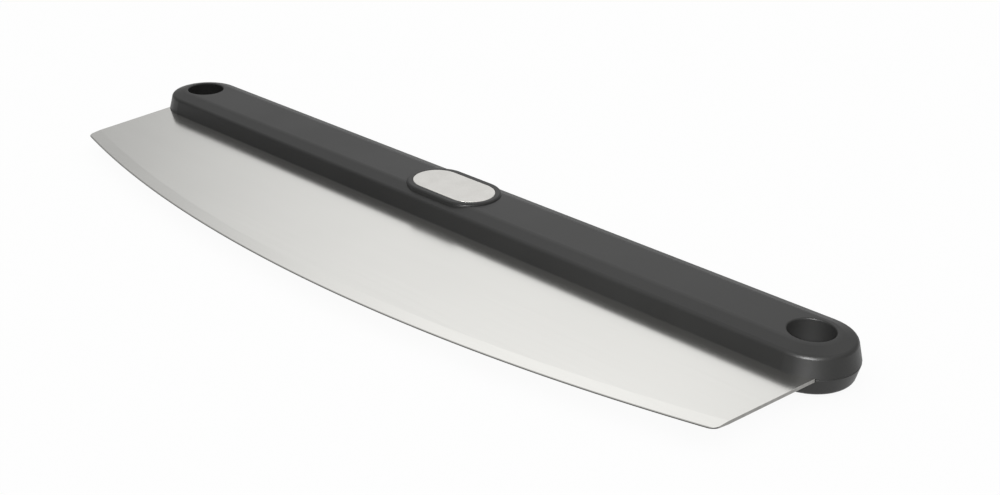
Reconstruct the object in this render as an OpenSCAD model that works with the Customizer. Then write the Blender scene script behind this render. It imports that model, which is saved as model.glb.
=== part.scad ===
// Rocking pizza knife: a long curved steel blade clamped along its back between two
// handle shells, with a small metal plate in an oval ring on top.
// The knife lies flat. X runs along the handle and the blade points to -Y.
// The origin is the middle of the handle's flat underside.

/* [Handle] */
// Overall length of the handle
handle_l = 420; // [340:5:500]
// Width of the handle at the parting line
handle_w = 39.6; // [38:0.2:46]
// Width of the top, between the sharp edges that the rounding takes off
top_w = 35.4; // [34:0.2:37.4]
// Width of the underside, between the sharp edges that the rounding takes off
underside_w = 36; // [34:0.2:37.4]
// Height from the underside to the parting line
lower_h = 7.5; // [6.5:0.1:10]
// Height from the parting line to the side edges of the top
upper_h = 8.4; // [7.5:0.1:11]
// Rise of the top from its side edges to the flat land along its middle
crown_rise = 2.1; // [1.2:0.1:3]
// Width of the flat land, between the sharp lines that its blends take off
land_w = 22; // [21:0.2:25]
// Radius of the blend between the land and the sloping flank on each side
land_r = 8; // [3:0.5:8]
// Radius of the handle's rounded edges
edge_r = 2.2; // [1:0.1:3]
// Wall thickness of both shells
wall = 2.4; // [1.8:0.1:2.8]
// Depth of the small V groove along the parting line
groove = 0.25; // [0.1:0.05:0.5]

/* [Hanging holes] */
// Diameter of the hole through each end
hole_d = 18.6; // [12:0.2:19]
// Radius of the rounded rims of the holes
rim_r = 0.7; // [0.3:0.1:0.9]
// Wall thickness of the collar round each hole
collar_wall = 2.4; // [1.6:0.1:2.6]

/* [Blade] */
// Thickness of the blade
blade_t = 1.5; // [1:0.1:2.5]
// How far each end of the blade stays inside the handle's end
blade_inset = 7.5; // [5:0.5:12]
// Depth of the blade's end corners below the handle's middle line
corner_depth = 69; // [55:1:90]
// How far each corner leans in from the blade's length at the handle
corner_lean = 6.2; // [0:0.2:15]
// Depth of the middle of the cutting edge below the handle's middle line
belly_depth = 95.4; // [92:0.2:110]
// Radius of the two rounded corners
corner_r = 4; // [2:0.5:8]
// Width of the ground bevel along the cutting edge
bevel_w = 9; // [5:0.5:14]
// Thickness left at the blunt cutting edge
edge_t = 0.4; // [0.2:0.05:0.6]

/* [Tang] */
// Height of the blade's hidden back edge above the handle's middle line
tang_rise = 9; // [7:0.5:11]
// Corner cut on the hidden back edge
tang_cut = 3; // [1:0.5:5]
// Clearance between the blade's outline and the pocket in the shells
tang_gap = 0.2; // [0.1:0.05:0.4]

/* [Badge] */
// Overall length of the metal plate
plate_l = 44; // [30:0.2:56]
// Width of the metal plate, which has half-round ends
plate_w = 22.6; // [16:0.2:25]
// Thickness of the metal plate
plate_t = 1.2; // [0.8:0.1:1.6]
// Radius of the plate's rounded upper edge
plate_edge_r = 0.35; // [0.1:0.05:0.6]
// How far the plate stands above the ring
plate_proud = 0.1; // [0:0.05:0.3]
// Thickness of the adhesive pad under the plate
tape_t = 0.2; // [0.1:0.05:0.3]
// Distance from the plate's edge to the pad's edge
tape_inset = 1; // [0.5:0.1:2]
// Width of the oval ring round the plate
ring_w = 2.6; // [2.2:0.1:4]
// Height of the ring above the flat land
ring_rise = 0.9; // [0.4:0.1:2]
// Radius of the ring's rounded outer edge
ring_r = 0.6; // [0.3:0.1:1.2]
// Depth of the pocket for the ring below the flat land
ring_pocket = 2.2; // [1.8:0.1:2.6]
// Clearance round the plate in the ring
plate_gap = 0.1; // [0.05:0.05:0.3]
// Clearance round the ring in its pocket, which shows as a fine dark line
ring_gap = 0.2; // [0.1:0.05:0.4]
// Thickness of the pad of the upper shell that carries the ring
pad_t = 2; // [1.5:0.1:3]
// Width of that pad outside the ring
pad_rim = 1.6; // [1:0.1:2]
// Diameter of the two pegs under the ring
peg_d = 3; // [2:0.1:4]
// Clearance round each peg
peg_gap = 0.1; // [0.05:0.05:0.3]

/* [Screws] */
// Number of screws on each side of the middle
screws_per_side = 3; // [2:1:4]
// Length of the screw under its head
screw_l = 11.8; // [9:0.2:12.2]
// Core diameter of the screw's thread
screw_d = 2.4; // [2:0.1:3]
// Diameter of the screw's head
head_d = 5.4; // [4.5:0.1:6]
// Height of the screw's head
head_h = 1.7; // [1.2:0.1:2]
// Height of the seat under the head, measured from the underside
seat_h = 2.6; // [2.2:0.1:3.2]
// Wall round the screw's hole and counterbore
boss_wall = 1.6; // [1.2:0.1:2]
// Clearance between the screw's core and the upper shell's pilot hole
pilot_gap = 0.05; // [0.02:0.01:0.1]
// Clearance round the screw in the lower shell and the blade
screw_gap = 0.5; // [0.3:0.05:0.8]

/* [Inside] */
// Thickness of the cross ribs
rib_t = 1.5; // [1:0.1:2.5]
// Diameter of the locating pins that pass through the blade
pin_d = 4; // [3:0.1:5]
// How far a locating pin reaches into the upper shell
pin_reach = 4; // [3:0.5:5]
// Clearance round each locating pin
pin_gap = 0.1; // [0.05:0.05:0.3]
// Thickness of the lip that lines up the two shells
lip_t = 1.2; // [0.8:0.1:1.6]
// Height of that lip above the parting line
lip_h = 1.5; // [1:0.1:2.5]
// Clearance between the lip and the upper shell
lip_gap = 0.1; // [0.05:0.05:0.3]

/* [Hidden] */
$fn = 72;
// Facets on the very large circle of the blade's belly
fine = 720;
// How far a cutting shape runs past the face that it cuts
over = 1;
// How far a rounding circle runs past the sides that it rounds, so that it crosses them cleanly
bite = 0.005;

half_w = handle_w / 2;
end_x = handle_l / 2 - half_w;
seam_z = lower_h;
edge_z = lower_h + upper_h;
crown_z = edge_z + crown_rise;
flank_lean = crown_rise / (top_w - land_w) * 2;
upper_lean = (handle_w - top_w) / 2 / upper_h;
lower_lean = (handle_w - underside_w) / 2 / lower_h;

hole_r = hole_d / 2;
collar_r = hole_r + collar_wall;

// The blade's upper corner lies on the handle's outline at the parting line
corner_x = handle_l / 2 - blade_inset;
corner_y = -sqrt(pow(half_w, 2) - pow(corner_x - end_x, 2));
low_x = corner_x - corner_lean;
belly_rise = belly_depth - corner_depth;
belly_r = (pow(low_x, 2) + pow(belly_rise, 2)) / (2 * belly_rise);
belly_o = [0, belly_r - belly_depth];
shoulder_y = -collar_r - 2 * tang_gap;
tang_x = end_x - collar_r - 4 * tang_gap;

plate_r = plate_w / 2;
plate_x = plate_l / 2 - plate_r;
oval_r = plate_r + ring_w;
ring_top = crown_z + ring_rise;
ring_base = crown_z - ring_pocket;
plate_top = ring_top + plate_proud;
tape_z = plate_top - plate_t - tape_t;
pad_r = oval_r + pad_rim;

core_r = screw_d / 2;
pilot_r = core_r + pilot_gap;
clear_r = core_r + screw_gap;
bore_r = head_d / 2 + screw_gap;
screw_top = seat_h + screw_l;
upper_boss_r = pilot_r + boss_wall;
lower_boss_r = bore_r + boss_wall;
screw_first = plate_x + pad_r + lower_boss_r + rib_t;
screw_last = tang_x - lower_boss_r;
screw_pitch = (screw_last - screw_first) / (screws_per_side - 1);
screw_places = [for (s = [-1, 1], i = [0:screws_per_side - 1]) s * (screw_first + i * screw_pitch)];
pin_places = [for (s = [-1, 1], i = [0:screws_per_side - 2]) s * (screw_first + (i + 0.5) * screw_pitch)];
rib_places = [for (s = [-1, 1], i = [0:screws_per_side - 2], k = [0.25, 0.75])
    s * (screw_first + (i + k) * screw_pitch)];

function unit(v) = v / norm(v);

// X of the handle's upper and lower side walls at a height
function upper_side(z) = half_w - (z - seam_z) * upper_lean;
function lower_side(z) = half_w - (seam_z - z) * lower_lean;

// X of the blade's end at a place along Y
function blade_end(y) = corner_x + (y - corner_y) * corner_lean / (corner_y + corner_depth);

// Centre of a circle of radius r that touches two straight sides from inside. p is their corner,
// and a and b are their outward directions
function in_corner(p, a, b, r) = p - r * (a + b) / (1 + a * b);

// Centre of a circle of radius r that touches, from inside, a straight side with the outward
// direction a through the point p, and further round a large circle about o
function touching(a, p, o, big_r, r) =
    let (d = [-a[1], a[0]], w = (a * p - r) * a - o, along = w * d)
    o + w + d * (sqrt(pow(along, 2) - w * w + pow(big_r - r, 2)) - along);

// The waste outside a rounded corner. c and r are the rounding circle, and a and b are the
// directions from its centre to the two sides that it rounds
module corner_waste(c, r, a, b) {
    reach = 1.5 * r;
    difference() {
        polygon([c, c + reach * a, c + reach * (a + b), c + reach * b]);
        translate(c) circle(r);
    }
}

// Sweeps a half section round an oval with straight sides and half-round ends
module oval(centre_x) {
    for (turn = [0, 180]) {
        rotate(turn) translate([centre_x, 0, 0]) rotate(-90) rotate_extrude(angle = 180) children();
        rotate(turn) rotate([90, 0, 90]) linear_extrude(2 * centre_x, center = true) children();
    }
}

// A plain oval disc between two heights
module oval_disc(centre_x, r, z0, z1) {
    oval(centre_x) translate([0, z0]) square([r, z1 - z0]);
}

// Half section of the upper shell's outside: leaning side, rounded edge, sloping flank and flat land
module upper_section() {
    side = unit([1, upper_lean]);
    flank = unit([flank_lean, 1]);
    edge = [top_w / 2, edge_z];
    land = [land_w / 2, crown_z];
    difference() {
        polygon([
            [0, seam_z], [half_w - groove, seam_z], [upper_side(seam_z + groove), seam_z + groove],
            edge, land, [0, crown_z]
        ]);
        corner_waste(in_corner(edge, side, flank, edge_r - bite), edge_r, side, flank);
        corner_waste(in_corner(land, flank, [0, 1], land_r - bite), land_r, flank, [0, 1]);
    }
}

// Half section of the lower shell's outside: flat underside, rounded edge and leaning side
module lower_section() {
    side = unit([1, -lower_lean]);
    edge = [underside_w / 2, 0];
    difference() {
        polygon([
            [0, 0], edge, [lower_side(seam_z - groove), seam_z - groove],
            [half_w - groove, seam_z], [0, seam_z]
        ]);
        corner_waste(in_corner(edge, [0, -1], side, edge_r - bite), edge_r, [0, -1], side);
    }
}

module upper_cavity_section() {
    slant = norm([1, flank_lean]);
    flank_top = edge_z + flank_lean * top_w / 2 - wall * slant;
    intersection() {
        polygon([
            [0, seam_z - over], [half_w - wall, seam_z - over], [half_w - wall, seam_z],
            [upper_side(crown_z) - wall, crown_z], [0, crown_z]
        ]);
        polygon([
            [0, 0], [half_w, 0], [half_w, flank_top - flank_lean * half_w],
            [land_w / 2 - wall * (slant - 1) / flank_lean, crown_z - wall], [0, crown_z - wall]
        ]);
    }
}

module lower_cavity_section() {
    polygon([
        [0, wall], [lower_side(wall) - wall, wall], [half_w - wall, seam_z],
        [half_w - wall, seam_z + over], [0, seam_z + over]
    ]);
}

// What stays solid inside both shells: collars round the hanging holes and cross ribs
module inner_walls() {
    for (s = [-1, 1]) {
        translate([s * end_x, 0, 0]) cylinder(crown_z, r = collar_r);
    }
    for (x = rib_places) {
        translate([x - rib_t / 2, -half_w, 0]) cube([rib_t, handle_w, crown_z]);
    }
}

module posts(places, r) {
    for (x = places) {
        translate([x, 0, 0]) cylinder(crown_z, r = r);
    }
}

// The hanging holes, with a rounded rim on each face
module hanging_holes() {
    inset = rim_r - bite;
    for (s = [-1, 1]) {
        translate([s * end_x, 0, 0]) rotate_extrude() {
            translate([0, -over]) square([hole_r, crown_z + 2 * over]);
            corner_waste([hole_r + inset, crown_z - inset], rim_r, [0, 1], [-1, 0]);
            corner_waste([hole_r + inset, inset], rim_r, [-1, 0], [0, -1]);
        }
    }
}

// Outline of the blade from a given Y up, grown by a clearance
function blade_half(y0, gap) = [
    [blade_end(y0) + gap, y0], [blade_end(shoulder_y) + gap, shoulder_y + gap],
    [tang_x + gap, shoulder_y + gap], [tang_x + gap, tang_rise - tang_cut], [tang_x - tang_cut, tang_rise + gap]
];
function blade_outline(y0, gap) =
    let (half = blade_half(y0, gap), last = len(half) - 1)
    concat(half, [for (i = [0:last]) [-half[last - i][0], half[last - i][1]]]);

// The flat pocket that both shells share with the blade
module blade_pocket() {
    translate([0, 0, seam_z]) linear_extrude(blade_t, center = true)
        polygon(blade_outline(-half_w - over, tang_gap));
}

module blade() {
    side = unit([-corner_y - corner_depth, -corner_lean]);
    c = touching(side, [-low_x, -corner_depth], belly_o, belly_r, corner_r - bite);
    color("#c9c8c3") translate([0, 0, seam_z]) intersection() {
        linear_extrude(blade_t + 2 * over, center = true) difference() {
            polygon(blade_outline(-belly_depth - over, 0));
            corner_waste(c, corner_r, side, unit(c - belly_o));
            mirror([1, 0]) corner_waste(c, corner_r, side, unit(c - belly_o));
            for (x = screw_places) {
                translate([x, 0]) circle(clear_r);
            }
            for (x = pin_places) {
                translate([x, 0]) circle(pin_d / 2 + pin_gap);
            }
        }
        translate(belly_o) rotate_extrude($fn = fine) polygon([
            [0, -blade_t / 2], [belly_r - bevel_w, -blade_t / 2], [belly_r, -edge_t / 2],
            [belly_r, edge_t / 2], [belly_r - bevel_w, blade_t / 2], [0, blade_t / 2]
        ]);
    }
}

module handle_upper_shell() {
    color("#4b4b49") difference() {
        oval(end_x) upper_section();
        difference() {
            oval(end_x) upper_cavity_section();
            inner_walls();
            posts(screw_places, upper_boss_r);
            posts(pin_places, pin_d / 2 + pin_gap + boss_wall);
            oval_disc(plate_x, pad_r, ring_base - pad_t, crown_z);
        }
        hanging_holes();
        blade_pocket();
        lip_channel();
        translate([0, 0, seam_z - over]) {
            for (x = screw_places) {
                translate([x, 0, 0]) cylinder(screw_top - seam_z + over + screw_gap, r = pilot_r);
            }
            for (x = pin_places) {
                translate([x, 0, 0]) cylinder(pin_reach + over + pin_gap, r = pin_d / 2 + pin_gap);
            }
        }
        oval_disc(plate_x, oval_r + ring_gap, ring_base, crown_z + over);
        for (s = [-1, 1]) {
            translate([s * plate_x, 0, ring_base - pad_t - over])
                cylinder(pad_t + 2 * over, r = peg_d / 2 + peg_gap);
        }
    }
}

// The lip on the lower shell, and the channel in the upper shell that takes it
module lip() {
    inner = half_w - wall - lip_gap - lip_t;
    difference() {
        oval(end_x) polygon([
            [inner, seam_z - 2 * lip_t], [half_w - wall / 2, seam_z - 2 * lip_t], [half_w - wall / 2, seam_z],
            [inner + lip_t, seam_z], [inner + lip_t, seam_z + lip_h], [inner, seam_z + lip_h]
        ]);
        translate([-handle_l / 2, -half_w, 0]) cube([handle_l, half_w + shoulder_y + tang_gap, crown_z]);
    }
}

module lip_channel() {
    inner = half_w - wall - 2 * lip_gap - lip_t;
    oval(end_x) translate([inner, seam_z - over]) square([half_w - wall - inner, lip_h + lip_gap + over]);
}

module handle_lower_shell() {
    color("#454543") difference() {
        union() {
            difference() {
                oval(end_x) lower_section();
                difference() {
                    oval(end_x) lower_cavity_section();
                    inner_walls();
                    posts(screw_places, lower_boss_r);
                    posts(pin_places, pin_d / 2 + boss_wall);
                }
            }
            lip();
        }
        hanging_holes();
        blade_pocket();
        for (x = screw_places) {
            translate([x, 0, -over]) cylinder(seam_z + 2 * over, r = clear_r);
            translate([x, 0, -over]) cylinder(seat_h + over, r = bore_r);
        }
    }
    color("#454543") for (x = pin_places) {
        translate([x, 0, seam_z - blade_t]) cylinder(blade_t + pin_reach, r = pin_d / 2);
    }
}

// The moulded oval ring, with a shallow tray for the plate and two pegs under it
module badge_ring() {
    inset = ring_r - bite;
    c = [oval_r - inset, ring_top - inset];
    color("#3f3f3e") difference() {
        union() {
            oval(plate_x) difference() {
                translate([0, ring_base]) square([oval_r, ring_top - ring_base]);
                corner_waste(c, ring_r, [1, 0], [0, 1]);
            }
            for (s = [-1, 1]) {
                translate([s * plate_x, 0, ring_base - pad_t]) cylinder(pad_t + over / 2, r = peg_d / 2);
            }
        }
        oval_disc(plate_x, plate_r + plate_gap, tape_z, ring_top + over);
    }
}

module badge_plate() {
    inset = plate_edge_r - bite;
    c = [plate_r - inset, plate_top - inset];
    color("#d4d3cf") oval(plate_x) difference() {
        translate([0, plate_top - plate_t]) square([plate_r, plate_t]);
        corner_waste(c, plate_edge_r, [1, 0], [0, 1]);
    }
}

module badge_adhesive_pad() {
    color("#e8e6dd") oval_disc(plate_x, plate_r - tape_inset, tape_z, tape_z + tape_t);
}

// One pan-head screw from below, drawn at its thread's core diameter, with a cross recess
module shell_screw() {
    head_edge = head_h / 3;
    slot_w = head_d / 7;
    slot_l = head_d * 0.6;
    difference() {
        rotate_extrude() polygon([
            [0, seat_h - head_h], [head_d / 2 - head_edge, seat_h - head_h], [head_d / 2, seat_h - head_h + head_edge],
            [head_d / 2, seat_h], [core_r, seat_h], [core_r, screw_top - screw_d], [core_r / 4, screw_top], [0, screw_top]
        ]);
        for (turn = [0, 90]) {
            rotate(turn) translate([-slot_l / 2, -slot_w / 2, seat_h - head_h - over])
                cube([slot_l, slot_w, head_h / 2 + over]);
        }
    }
}

module shell_screws() {
    color("#b9b9b6") for (x = screw_places) {
        translate([x, 0, 0]) shell_screw();
    }
}

blade();
handle_upper_shell();
handle_lower_shell();
badge_ring();
badge_plate();
badge_adhesive_pad();
shell_screws();
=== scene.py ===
# %% [markdown]
# # A rocking pizza knife in Blender
#
# The knife is a long sheet-steel blade, clamped along its back between two moulded handle
# shells. A small metal plate sits in an oval ring on top of the handle. Everything that carries
# and clamps comes ready from the construction model, in one fixed frame.
#
# This lesson models again, by hand, the pieces whose fine edges catch the light: the blade, the
# ring, the plate and the screws. Then it gives every surface its finish, and lights the knife
# as a catalogue would. All lengths in the text are in millimetres, and Blender works in metres.

# %% Load the fixed frame
import math

import bmesh
import bpy
from mathutils import Euler, Matrix, Vector


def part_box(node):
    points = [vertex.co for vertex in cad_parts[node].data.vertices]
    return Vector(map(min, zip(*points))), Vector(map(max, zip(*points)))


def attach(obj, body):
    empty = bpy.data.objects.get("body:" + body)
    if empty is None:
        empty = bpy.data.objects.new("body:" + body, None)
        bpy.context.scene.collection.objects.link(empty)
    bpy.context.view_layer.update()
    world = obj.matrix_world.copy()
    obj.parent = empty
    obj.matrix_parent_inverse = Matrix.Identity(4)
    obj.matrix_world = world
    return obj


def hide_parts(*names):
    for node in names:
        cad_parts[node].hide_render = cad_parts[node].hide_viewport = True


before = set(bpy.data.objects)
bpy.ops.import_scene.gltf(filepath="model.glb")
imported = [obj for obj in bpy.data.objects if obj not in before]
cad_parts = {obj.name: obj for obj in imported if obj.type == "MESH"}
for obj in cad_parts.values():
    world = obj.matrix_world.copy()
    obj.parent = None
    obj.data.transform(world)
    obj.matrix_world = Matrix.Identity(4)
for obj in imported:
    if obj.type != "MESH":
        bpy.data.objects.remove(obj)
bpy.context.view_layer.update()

MM = 0.001
print("nodes:", sorted(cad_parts))

# %% [markdown]
# ## The camera
#
# The picture was taken from the knife's right end, a little over 40 degrees round and 25 degrees
# up, through a normal lens. A camera could be aimed by eye, but then no edge would quite fall on
# the edge in the picture. The values below were found by fitting the handle's and the blade's
# outlines. The camera is turned by its heading and pitch, and then rolled by a degree about its
# own line of sight.

# %% Camera
CAMERA_PLACE = Vector((422.8, -421.2, 267.2)) * MM
CAMERA_HEADING = 0.7508
CAMERA_PITCH = -0.4376
CAMERA_ROLL = 0.0232
LENS = 50.88
SENSOR = 36.0

camera_data = bpy.data.cameras.new("camera")
camera_data.lens = LENS
camera_data.sensor_width = SENSOR
camera_data.clip_start = 10 * MM
camera = bpy.data.objects.new("camera", camera_data)
bpy.context.scene.collection.objects.link(camera)
camera_turn = Euler((math.pi / 2 + CAMERA_PITCH, 0, CAMERA_HEADING)).to_matrix()
camera_turn = camera_turn @ Matrix.Rotation(CAMERA_ROLL, 3, "Z")
camera.matrix_world = Matrix.Translation(CAMERA_PLACE) @ camera_turn.to_4x4()
bpy.context.scene.camera = camera
print("lens in mm:", LENS)

# %% [markdown]
# ## A few hand tools
#
# An edit-mode operator acts on whatever is selected. By hand you would click on a face or drag a
# box round some points. In a script you say in words which parts you mean: the test gets one
# vertex, edge or face and answers yes or no. Everything is deselected first, because a fresh
# primitive comes selected all over. Places count as equal when they are nearer than a hundredth
# of a millimetre.


# %% Selecting by place
TOUCH = 0.01 * MM


def take(piece):
    """Makes one piece the only one that operators act on."""
    bpy.ops.object.select_all(action="DESELECT")
    piece.select_set(True)
    bpy.context.view_layer.objects.active = piece


def pick(kind, test):
    """Selects the vertices, edges or faces that pass the test, and nothing else."""
    mesh_data = bpy.context.object.data
    bpy.ops.mesh.select_mode(type=kind)
    bpy.ops.mesh.select_all(action="DESELECT")
    mesh = bmesh.from_edit_mesh(mesh_data)
    found = 0
    for part in {"VERT": mesh.verts, "EDGE": mesh.edges, "FACE": mesh.faces}[kind]:
        if test(part):
            part.select = True
            found += 1
    mesh.select_flush_mode()
    bmesh.update_edit_mesh(mesh_data)
    return found


def middle(part):
    """The middle of an edge or face."""
    return sum((corner.co for corner in part.verts), Vector()) / len(part.verts)


def level(part, z):
    """Whether all of an edge or face lies at a height."""
    return all(abs(corner.co.z - z) < TOUCH for corner in part.verts)


# %% [markdown]
# Modifiers are applied at once, so that each piece ends as a plain mesh. The last one of every
# piece is Weighted Normal: it lets the large flat faces keep their own direction, so that only
# the narrow rounded edges shade round.


# %% Modifiers and the last touches
def apply_modifier(piece, kind, **values):
    """Adds a modifier with its values and applies it at once."""
    take(piece)
    modifier = piece.modifiers.new("step", kind)
    for name, value in values.items():
        setattr(modifier, name, value)
    bpy.ops.object.modifier_apply(modifier=modifier.name)


def cut(piece, tool, operation="DIFFERENCE"):
    """Cuts the tool out of the piece, or joins it on, and throws the tool away."""
    apply_modifier(piece, "BOOLEAN", object=tool, operation=operation, solver="EXACT")
    bpy.data.objects.remove(tool)


def smooth(piece, degrees=40):
    """Smooth shading up to an angle, with the flat faces kept flat."""
    take(piece)
    bpy.ops.object.shade_smooth_by_angle(angle=math.radians(degrees), keep_sharp_edges=True)
    apply_modifier(piece, "WEIGHTED_NORMAL", mode="FACE_AREA", weight=50, keep_sharp=True)


def fit(piece, node):
    """The piece stands for a CAD node, which is hidden, and moves with the knife."""
    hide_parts(node)
    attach(piece, "root")
    low = Vector([min(v.co[k] for v in piece.data.vertices) for k in range(3)])
    high = Vector([max(v.co[k] for v in piece.data.vertices) for k in range(3)])
    node_low, node_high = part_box(node)
    print(piece.name, "size", [round(side / MM, 2) for side in high - low],
          "of", [round(side / MM, 2) for side in node_high - node_low])


# %% [markdown]
# ## The blade
#
# The blade is one stainless sheet. Its cutting edge is part of a very large circle, so that the
# knife can rock, and a ground bevel runs along it. The ends lean in a little and their corners
# are rounded. The back part, the tang, is hidden in the handle, and has holes for the screws and
# for the shells' locating pins.
#
# A flat outline could be extruded and its edge ground by a boolean. It is neater to start from
# what is ground: the section of the bevel is spun about the centre of the large circle, and the
# body of the sheet is then drawn out of it to the straight back. Only the right half is made,
# and a mirror adds the other. First come the sizes. The sheet and its place are the frame's own.

# %% Sizes of the blade
blade_low, blade_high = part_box("blade")
SEAM = (blade_low.z + blade_high.z) / 2
SHEET = blade_high.z - blade_low.z
EDGE_SHEET = 0.4 * MM
BEVEL_WIDTH = 6.8 * MM
ARRIS = 0.12 * MM
CORNER = Vector((196.3, -69.0, 0)) * MM
CORNER_RADIUS = 4 * MM
SHOULDER = Vector((blade_high.x, -12.1 * MM, 0))
TANG_END = 177.7 * MM
TANG_CUT = 3 * MM
SCREW_PLACES = [32.5, 102.7, 172.9]
PIN_PLACES = [67.6, 137.8]
SCREW_HOLE = 1.7 * MM
PIN_HOLE = 2.1 * MM

BELLY_RADIUS = 743 * MM
BELLY_CENTRE = Vector((0, blade_low.y + BELLY_RADIUS, 0))
print("sheet in mm:", round(SHEET / MM, 2), "seam at", round(SEAM / MM, 2))

# %% [markdown]
# The section of the ground part is a short upright wall, the cutting edge, between two lines that
# spread to the sheet's thickness. The plane's inner edge is deleted, so that the spun strip stays
# open towards the back. The steps of the spin are set so that the blade's corner falls seven
# tenths into the thirtieth step: the rounding of the corner needs clear edges on both sides.

# %% The bevel's section, spun along the cutting edge
STEPS_TO_CORNER = 29.7
SPIN_STEPS = 32
spin_step = math.asin(CORNER.x / BELLY_RADIUS) / STEPS_TO_CORNER
bevel_line = blade_low.y + BEVEL_WIDTH
bevel_radius = BELLY_RADIUS - BEVEL_WIDTH

bpy.ops.object.select_all(action="DESELECT")
bpy.ops.mesh.primitive_plane_add(
    size=1, location=(0, (blade_low.y + bevel_line) / 2, SEAM), rotation=(0, math.pi / 2, 0))
blade = bpy.context.object
blade.name = "blade_sheet"
bpy.ops.object.transform_apply(location=True, rotation=True, scale=True)
bpy.ops.object.mode_set(mode="EDIT")
bpy.ops.mesh.select_all(action="SELECT")
bpy.ops.transform.resize(
    value=(1, BEVEL_WIDTH, SHEET), center_override=(0, (blade_low.y + bevel_line) / 2, SEAM))
pick("VERT", lambda corner: corner.co.y < bevel_line - BEVEL_WIDTH / 2)
bpy.ops.transform.resize(value=(1, 1, EDGE_SHEET / SHEET), center_override=(0, blade_low.y, SEAM))
pick("EDGE", lambda edge: all(corner.co.y > bevel_line - BEVEL_WIDTH / 2 for corner in edge.verts))
bpy.ops.mesh.delete(type="EDGE_FACE")
bpy.ops.mesh.select_mode(type="VERT")
bpy.ops.mesh.select_all(action="SELECT")
bpy.ops.mesh.spin(steps=SPIN_STEPS, angle=-spin_step * SPIN_STEPS,
                  center=(0, BELLY_CENTRE.y, SEAM), axis=(0, 0, 1))
reach = max(corner.co.x for corner in bmesh.from_edit_mesh(blade.data).verts)
print("bevel spun to x in mm:", round(reach / MM, 1))


# %% [markdown]
# The strip's two open rims, above and below, follow the upper line of the bevel. Extruded towards
# the back and then pressed flat in Y, they become the two faces of the sheet. How far they are
# drawn out makes no difference, because they are pressed flat on the back line. A bridge between
# their far rims is the straight back edge.


# %% The body of the sheet, drawn out to the back
DRAWN_OUT = 60 * MM


def from_centre(point):
    """Distance from the centre of the large circle."""
    return (Vector((point.x, point.y, 0)) - BELLY_CENTRE).length


def on_bevel_line(edge):
    """Whether an edge lies on the upper line of the bevel."""
    return all(abs(from_centre(corner.co) - bevel_radius) < TOUCH for corner in edge.verts)


print("rims of the strip:", pick("EDGE", on_bevel_line), "edges")
bpy.ops.mesh.extrude_region_move(TRANSFORM_OT_translate={"value": (0, DRAWN_OUT, 0)})
bpy.ops.transform.resize(value=(1, 0, 1), center_override=(0, blade_high.y, SEAM))
bpy.ops.mesh.bridge_edge_loops()
print("open sheet:", len(bmesh.from_edit_mesh(blade.data).faces), "faces")

# %% [markdown]
# The leaning end is one bisect through the corner and the shoulder, and the cut is closed. Then
# the short upright edge at the corner is bevelled to a round in twenty steps. The bevel wants the
# distance from the corner at which the round begins, and that follows from the angle by which
# the outline turns there.

# %% The end and its rounded corner
CORNER_STEPS = 20
CORNER_REACH = 0.2 * MM

along = (SHOULDER - CORNER).normalized()
end_out = Vector((along.y, -along.x, 0))
belly_out = (CORNER - BELLY_CENTRE).normalized()
corner_turn = end_out.angle(belly_out)
bpy.ops.mesh.select_mode(type="VERT")
bpy.ops.mesh.select_all(action="SELECT")
bpy.ops.mesh.bisect(plane_co=CORNER, plane_no=end_out, use_fill=True, clear_outer=True)


def at_corner(edge):
    """Whether an edge is the short upright one at the blade's corner."""
    return all((corner.co - CORNER).xy.length < CORNER_REACH for corner in edge.verts)


print("corner:", pick("EDGE", at_corner), "edge, turn in degrees",
      round(math.degrees(corner_turn), 1))
bpy.ops.mesh.bevel(offset=CORNER_RADIUS * math.tan(corner_turn / 2), segments=CORNER_STEPS,
                   affect="EDGES", clamp_overlap=False)
bpy.ops.object.mode_set(mode="OBJECT")
print("half a blade:", len(blade.data.polygons), "faces")

# %% [markdown]
# The mirror closes the other half. Doubles are merged and the normals recalculated after it,
# because a mirrored and spun shell can come out facing inwards.

# %% The other half
apply_modifier(blade, "MIRROR", use_axis=(True, False, False), use_mirror_merge=True,
               merge_threshold=TOUCH)
bpy.ops.object.mode_set(mode="EDIT")
bpy.ops.mesh.select_all(action="SELECT")
bpy.ops.mesh.remove_doubles(threshold=TOUCH / 10)
bpy.ops.mesh.normals_make_consistent(inside=False)
bpy.ops.object.mode_set(mode="OBJECT")
print("whole blade:", len(blade.data.polygons), "faces")

# %% [markdown]
# A press would punch the tang in one stroke. Here each cut is a boolean with a tool of its own,
# so that every size is easy to find, and each tool is thrown away once it has cut. Two kinds are
# enough, a square block and a round rod, and they serve for the ring and the screws as well.


# %% Blocks and rods
FACETS = 48


def square_block(centre, size):
    """A block with its middle and its three lengths."""
    bpy.ops.object.select_all(action="DESELECT")
    bpy.ops.mesh.primitive_cube_add(size=1, location=centre)
    piece = bpy.context.object
    piece.scale = size
    bpy.ops.object.transform_apply(location=True, rotation=True, scale=True)
    return piece


def round_rod(x, z, radius, height):
    """An upright rod on the handle's middle line."""
    bpy.ops.object.select_all(action="DESELECT")
    bpy.ops.mesh.primitive_cylinder_add(
        vertices=FACETS, radius=radius, depth=height, location=(x, 0, z))
    return bpy.context.object


# %% [markdown]
# In the handle, each end of the tang is notched to clear the hanging hole, and its back corners
# are cut at 45 degrees. Round holes let the screws and the locating pins pass. The blocks reach
# well beyond the sheet, so that no face of a tool lies on a face of the blade.

# %% Notches, cut corners and holes
TOOL_DEPTH = 8 * MM
BEYOND = 20 * MM

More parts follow.
